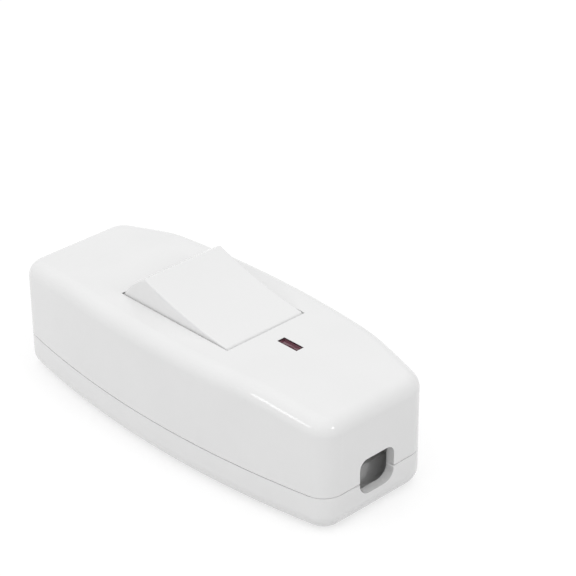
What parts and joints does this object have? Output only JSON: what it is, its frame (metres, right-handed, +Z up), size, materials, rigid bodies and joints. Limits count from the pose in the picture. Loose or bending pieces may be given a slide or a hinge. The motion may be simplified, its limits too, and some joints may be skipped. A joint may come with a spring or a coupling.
{
  "type": "inline cord switch",
  "caption": "Inline rocker switch for a mains cord: boat-shaped two-part white case, raised rocker, red pilot window, rounded cord entry in each end.",
  "frame": {"origin": "middle of the flat bottom face that the switch lies on", "axes": "+X along the cord towards the load end, which has the pilot window; +Y across; +Z up through the rocker"},
  "size_m": [0.092, 0.0372, 0.0335],
  "materials": {
    "case_plastic": "glossy moulded white thermoplastic",
    "rocker_plastic": "glossy moulded white thermoplastic",
    "red_lens": "clear dark red moulded plastic",
    "lamp_glass": "clear glass tube",
    "resistor_body": "lacquered ceramic",
    "tinned_wire": "tinned copper wire",
    "plunger_nylon": "natural nylon",
    "spring_steel": "drawn spring wire",
    "copper_alloy": "stamped spring bronze",
    "silver_contact": "silver contact face",
    "brass": "stamped and machined brass",
    "plated_steel": "zinc-plated steel",
    "clamp_plastic": "moulded nylon"
  },
  "bodies": {
    "case": {"upper_housing": "case_plastic", "lower_housing": "case_plastic", "indicator_lens": "red_lens", "neon_lamp": "lamp_glass", "lamp_resistor": "resistor_body", "neutral_lamp_lead": "tinned_wire", "live_lamp_lead": "tinned_wire", "resistor_lead": "tinned_wire", "earth_strip": "brass", "neutral_line_terminal": "brass", "neutral_load_terminal": "brass", "neutral_fixed_contact": "silver_contact", "live_line_terminal": "brass", "live_load_terminal": "brass", "live_fixed_contact": "silver_contact", "supply_neutral_terminal_block": "brass", "supply_neutral_terminal_screw": "plated_steel", "supply_live_terminal_block": "brass", "supply_live_terminal_screw": "plated_steel", "supply_earth_terminal_block": "brass", "supply_earth_terminal_screw": "plated_steel", "supply_cord_clamp": "clamp_plastic", "supply_neutral_clamp_screw": "plated_steel", "supply_neutral_case_screw": "plated_steel", "supply_live_clamp_screw": "plated_steel", "supply_live_case_screw": "plated_steel", "load_neutral_terminal_block": "brass", "load_neutral_terminal_screw": "plated_steel", "load_live_terminal_block": "brass", "load_live_terminal_screw": "plated_steel", "load_earth_terminal_block": "brass", "load_earth_terminal_screw": "plated_steel", "load_cord_clamp": "clamp_plastic", "load_neutral_clamp_screw": "plated_steel", "load_neutral_case_screw": "plated_steel", "load_live_clamp_screw": "plated_steel", "load_live_case_screw": "plated_steel"},
    "rocker": {"rocker": "rocker_plastic", "neutral_plunger_spring": "spring_steel", "live_plunger_spring": "spring_steel"},
    "neutral_plunger": {"neutral_plunger": "plunger_nylon"},
    "neutral_blade": {"neutral_contact_blade": "copper_alloy", "neutral_moving_contact": "silver_contact"},
    "live_plunger": {"live_plunger": "plunger_nylon"},
    "live_blade": {"live_contact_blade": "copper_alloy", "live_moving_contact": "silver_contact"}
  },
  "joints": [
    {"name": "rocker_tilt", "type": "hinge", "parent": "case", "child": "rocker", "pos_m": [-0.00075, 0, 0.0167], "axis": [0, -1, 0], "range_deg": [0, 27.6]},
    {"name": "neutral_blade_rock", "type": "hinge", "parent": "case", "child": "neutral_blade", "pos_m": [-0.00075, -0.0062, 0.0081], "axis": [0, -1, 0], "range_deg": [-16, 0]},
    {"name": "neutral_plunger_slide", "type": "slide", "parent": "rocker", "child": "neutral_plunger", "axis": [0.2385, 0, 0.9711], "range_m": [0, 0.0006], "stiffness_N_per_m": 300, "springref_m": -0.0006, "deforming": ["neutral_plunger_spring"]},
    {"name": "live_blade_rock", "type": "hinge", "parent": "case", "child": "live_blade", "pos_m": [-0.00075, 0.0062, 0.0081], "axis": [0, -1, 0], "range_deg": [-16, 0]},
    {"name": "live_plunger_slide", "type": "slide", "parent": "rocker", "child": "live_plunger", "axis": [0.2385, 0, 0.9711], "range_m": [0, 0.0006], "stiffness_N_per_m": 300, "springref_m": -0.0006, "deforming": ["live_plunger_spring"]}
  ],
  "couplings": [
    {"joint": "neutral_blade_rock", "follows": "rocker_tilt", "ratio": -0.5797},
    {"joint": "live_blade_rock", "follows": "rocker_tilt", "ratio": -0.5797}
  ]
}
